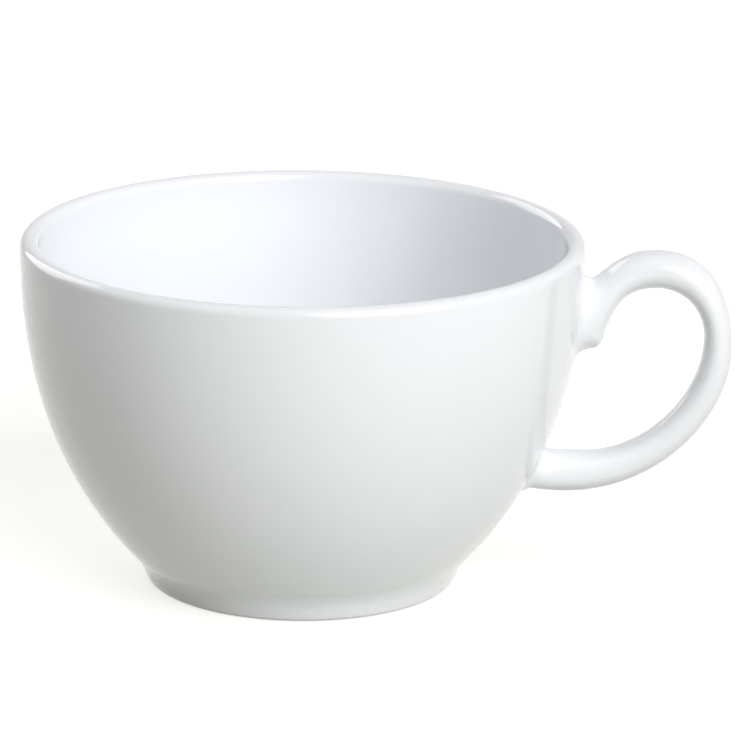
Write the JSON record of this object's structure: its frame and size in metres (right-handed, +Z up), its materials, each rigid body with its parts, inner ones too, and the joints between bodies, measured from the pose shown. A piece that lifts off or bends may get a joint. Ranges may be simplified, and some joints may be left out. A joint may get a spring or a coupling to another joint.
{
  "type": "breakfast cup",
  "caption": "White glazed porcelain breakfast cup: a deep rounded bowl with a thick rounded lip on a low foot ring, with a slim loop handle at one side.",
  "frame": {"origin": "middle of the overall footprint, bowl and handle together, on the plane that the foot stands on", "axes": "+Z up, out of the cup's mouth; +X from the bowl towards the handle; the handle lies in the plane y = 0"},
  "size_m": [0.1388, 0.11, 0.069],
  "materials": {
    "glazed_porcelain": "gloss"
  },
  "bodies": {
    "root": {"bowl": "glazed_porcelain", "foot_ring": "glazed_porcelain", "foot_slip_joint": "glazed_porcelain", "handle": "glazed_porcelain", "upper_slip_joint": "glazed_porcelain", "lower_slip_joint": "glazed_porcelain"}
  },
  "joints": []
}
